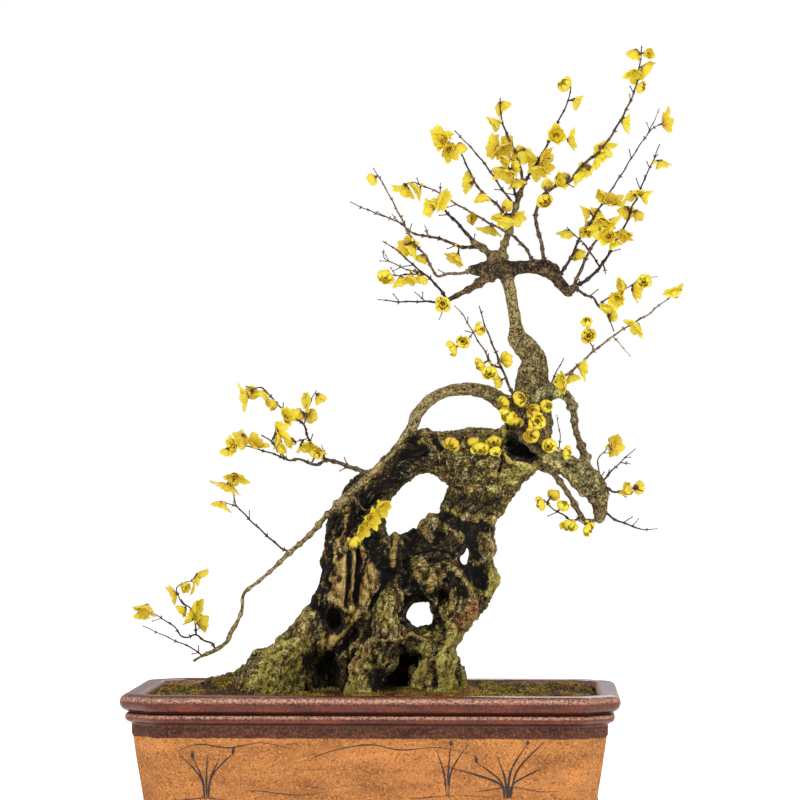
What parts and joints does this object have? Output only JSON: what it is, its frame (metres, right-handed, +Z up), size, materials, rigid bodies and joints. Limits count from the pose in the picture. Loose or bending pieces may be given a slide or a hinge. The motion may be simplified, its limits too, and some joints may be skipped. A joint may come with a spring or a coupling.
{
  "type": "wintersweet bonsai in a rectangular clay pot",
  "caption": "Old hollow-trunked wintersweet bonsai with bare twigs and yellow waxy blooms, planted in a long rectangular glazed clay pot with cut corners and feet.",
  "frame": {"origin": "centre of the whole part's footprint box, at the underside of the pot's feet", "axes": "+Z up, -Y towards the viewer at the pot's long front side, +X to the viewer's right, where the crown leans"},
  "size_m": [0.6898, 0.36, 0.9572],
  "materials": {
    "clay": "dark red-brown glaze on the rim, matte ochre clay on the sides",
    "drain_mesh": "matte",
    "soil": "damp soil with moss",
    "bark": "rough weathered bark and bare wood",
    "blossom": "waxy yellow petals on thin dark twigs"
  },
  "bodies": {
    "root": {"pot": "clay", "drain_mesh_left": "drain_mesh", "drain_mesh_right": "drain_mesh", "soil": "soil", "trunk": "bark", "spray_crown_tall": "blossom", "spray_crown_straight": "blossom", "spray_crown_top": "blossom", "spray_crown_cluster": "blossom", "spray_crown_low_cluster": "blossom", "spray_crown_upper_left": "blossom", "spray_crown_left_fork": "blossom", "spray_crown_back_left": "blossom", "spray_left_far": "blossom", "spray_left_high": "blossom", "spray_left_low": "blossom", "spray_right_back": "blossom", "spray_right_outer": "blossom", "spray_right_low": "blossom", "spray_right_far": "blossom", "spray_arm_upper": "blossom", "spray_arm_outer": "blossom", "spray_arm_lower": "blossom", "spray_arm_under": "blossom", "spray_front_tall": "blossom", "spray_front_knob": "blossom", "spray_trunk_top": "blossom", "spray_left_spray": "blossom", "spray_trunk_front": "blossom", "spray_left_hanging": "blossom", "spray_left_tip": "blossom", "spray_left_trailing": "blossom"}
  },
  "joints": []
}
